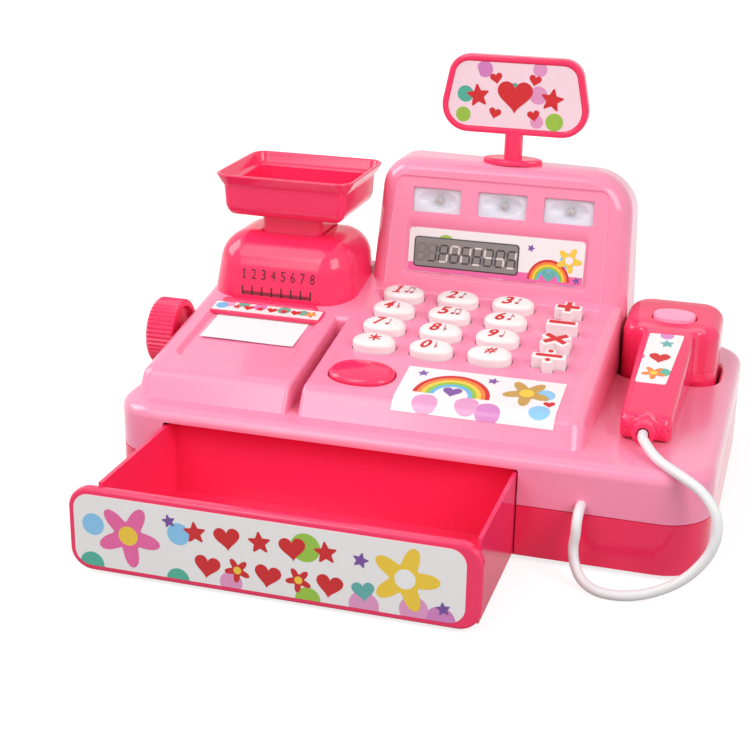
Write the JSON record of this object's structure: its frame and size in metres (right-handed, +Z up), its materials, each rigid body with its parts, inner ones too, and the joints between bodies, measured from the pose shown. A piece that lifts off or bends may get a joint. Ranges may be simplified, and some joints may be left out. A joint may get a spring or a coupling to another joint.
{
  "type": "toy cash register",
  "caption": "Toy cash register with a sliding cash drawer, sprung weighing pan, receipt printer with a paper knob, press keys, display tower, sign and a corded hand scanner.",
  "frame": {"origin": "middle of the case's underside, on the table", "axes": "+X to the register's right as its user sees it, front towards -Y, +Z up"},
  "size_m": [0.3274, 0.2889, 0.22],
  "materials": {
    "light_pink": "semi-gloss",
    "hot_pink": "semi-gloss",
    "deep_pink": "semi-gloss",
    "white_plastic": "semi-gloss",
    "pale_pink": "semi-gloss",
    "label": "printed, glossy",
    "paper": "matte paper",
    "steel": "plain",
    "silicone": "matte",
    "board": "satin",
    "clear": "clear",
    "lamp": "clear",
    "lcd": "satin",
    "red_lens": "clear",
    "cord": "satin",
    "cell": "gloss",
    "black_plastic": "satin"
  },
  "bodies": {
    "case": {"lower_case": "deep_pink", "upper_case": "light_pink", "display_housing": "light_pink", "display_back_cover": "light_pink", "scale_housing": "hot_pink", "scale_spring": "steel", "tear_bar": "hot_pink", "tear_bar_label": "label", "receipt_paper": "paper", "shaft_bracket": "light_pink", "keypad_membrane": "silicone", "keypad_label": "label", "main_board": "board", "flash_windows": "clear", "flash_reflector": "white_plastic", "flash_lamps": "lamp", "lcd_module": "lcd", "display_label": "label", "sign_frame": "hot_pink", "sign_panel": "label", "cord": "cord", "cord_bush": "light_pink", "battery_cover": "deep_pink", "batteries": "cell", "battery_contacts": "steel", "loudspeaker": "black_plastic", "case_screws": "steel"},
    "drawer": {"drawer_tray": "deep_pink", "drawer_front": "hot_pink", "drawer_label": "label"},
    "scale": {"scale_pan": "hot_pink", "scale_plunger": "hot_pink"},
    "paper_feed": {"paper_knob": "hot_pink", "paper_shaft": "steel", "paper_roll": "paper"},
    "scanner": {"scanner_top": "hot_pink", "scanner_bottom": "hot_pink", "scanner_window": "red_lens", "scanner_gland": "hot_pink", "scanner_label": "label"},
    "scanner_trigger": {"scanner_button": "pale_pink"},
    "switch": {"power_switch": "black_plastic"},
    "key_large_cap": {"key_large": "hot_pink"},
    "key_1_cap": {"key_1": "white_plastic"},
    "key_2_cap": {"key_2": "white_plastic"},
    "key_3_cap": {"key_3": "white_plastic"},
    "key_4_cap": {"key_4": "white_plastic"},
    "key_5_cap": {"key_5": "white_plastic"},
    "key_6_cap": {"key_6": "white_plastic"},
    "key_7_cap": {"key_7": "white_plastic"},
    "key_8_cap": {"key_8": "white_plastic"},
    "key_9_cap": {"key_9": "white_plastic"},
    "key_star_cap": {"key_star": "white_plastic"},
    "key_0_cap": {"key_0": "white_plastic"},
    "key_hash_cap": {"key_hash": "white_plastic"},
    "key_plus_cap": {"key_plus": "white_plastic"},
    "key_minus_cap": {"key_minus": "white_plastic"},
    "key_times_cap": {"key_times": "white_plastic"},
    "key_divide_cap": {"key_divide": "white_plastic"}
  },
  "joints": [
    {"name": "drawer_slide", "type": "slide", "parent": "case", "child": "drawer", "axis": [0, 1, 0], "range_m": [0, 0.0735]},
    {"name": "pan_slide", "type": "slide", "parent": "case", "child": "scale", "axis": [0, 0, -1], "range_m": [0, 0.005], "stiffness_N_per_m": 600, "springref_m": -0.003, "deforming": ["scale_spring"]},
    {"name": "paper_knob_turn", "type": "hinge", "parent": "case", "child": "paper_feed", "pos_m": [-0.11, -0.015, 0.066], "axis": [1, 0, 0], "continuous": true},
    {"name": "scanner_lift", "type": "slide", "parent": "case", "child": "scanner", "axis": [0, 0, 1], "range_m": [0, 0.07]},
    {"name": "scanner_button_press", "type": "slide", "parent": "scanner", "child": "scanner_trigger", "axis": [0, 0, -1], "range_m": [0, 0.002], "stiffness_N_per_m": 500, "springref_m": -0.001},
    {"name": "power_switch_slide", "type": "slide", "parent": "case", "child": "switch", "axis": [1, 0, 0], "range_m": [0, 0.005]},
    {"name": "key_large_press", "type": "slide", "parent": "case", "child": "key_large_cap", "axis": [0, 0.1736, -0.9848], "range_m": [0, 0.002], "stiffness_N_per_m": 500, "springref_m": -0.001},
    {"name": "key_1_press", "type": "slide", "parent": "case", "child": "key_1_cap", "axis": [0, 0.1736, -0.9848], "range_m": [0, 0.002], "stiffness_N_per_m": 500, "springref_m": -0.001},
    {"name": "key_2_press", "type": "slide", "parent": "case", "child": "key_2_cap", "axis": [0, 0.1736, -0.9848], "range_m": [0, 0.002], "stiffness_N_per_m": 500, "springref_m": -0.001},
    {"name": "key_3_press", "type": "slide", "parent": "case", "child": "key_3_cap", "axis": [0, 0.1736, -0.9848], "range_m": [0, 0.002], "stiffness_N_per_m": 500, "springref_m": -0.001},
    {"name": "key_4_press", "type": "slide", "parent": "case", "child": "key_4_cap", "axis": [0, 0.1736, -0.9848], "range_m": [0, 0.002], "stiffness_N_per_m": 500, "springref_m": -0.001},
    {"name": "key_5_press", "type": "slide", "parent": "case", "child": "key_5_cap", "axis": [0, 0.1736, -0.9848], "range_m": [0, 0.002], "stiffness_N_per_m": 500, "springref_m": -0.001},
    {"name": "key_6_press", "type": "slide", "parent": "case", "child": "key_6_cap", "axis": [0, 0.1736, -0.9848], "range_m": [0, 0.002], "stiffness_N_per_m": 500, "springref_m": -0.001},
    {"name": "key_7_press", "type": "slide", "parent": "case", "child": "key_7_cap", "axis": [0, 0.1736, -0.9848], "range_m": [0, 0.002], "stiffness_N_per_m": 500, "springref_m": -0.001},
    {"name": "key_8_press", "type": "slide", "parent": "case", "child": "key_8_cap", "axis": [0, 0.1736, -0.9848], "range_m": [0, 0.002], "stiffness_N_per_m": 500, "springref_m": -0.001},
    {"name": "key_9_press", "type": "slide", "parent": "case", "child": "key_9_cap", "axis": [0, 0.1736, -0.9848], "range_m": [0, 0.002], "stiffness_N_per_m": 500, "springref_m": -0.001},
    {"name": "key_star_press", "type": "slide", "parent": "case", "child": "key_star_cap", "axis": [0, 0.1736, -0.9848], "range_m": [0, 0.002], "stiffness_N_per_m": 500, "springref_m": -0.001},
    {"name": "key_0_press", "type": "slide", "parent": "case", "child": "key_0_cap", "axis": [0, 0.1736, -0.9848], "range_m": [0, 0.002], "stiffness_N_per_m": 500, "springref_m": -0.001},
    {"name": "key_hash_press", "type": "slide", "parent": "case", "child": "key_hash_cap", "axis": [0, 0.1736, -0.9848], "range_m": [0, 0.002], "stiffness_N_per_m": 500, "springref_m": -0.001},
    {"name": "key_plus_press", "type": "slide", "parent": "case", "child": "key_plus_cap", "axis": [0, 0.1736, -0.9848], "range_m": [0, 0.002], "stiffness_N_per_m": 500, "springref_m": -0.001},
    {"name": "key_minus_press", "type": "slide", "parent": "case", "child": "key_minus_cap", "axis": [0, 0.1736, -0.9848], "range_m": [0, 0.002], "stiffness_N_per_m": 500, "springref_m": -0.001},
    {"name": "key_times_press", "type": "slide", "parent": "case", "child": "key_times_cap", "axis": [0, 0.1736, -0.9848], "range_m": [0, 0.002], "stiffness_N_per_m": 500, "springref_m": -0.001},
    {"name": "key_divide_press", "type": "slide", "parent": "case", "child": "key_divide_cap", "axis": [0, 0.1736, -0.9848], "range_m": [0, 0.002], "stiffness_N_per_m": 500, "springref_m": -0.001}
  ]
}
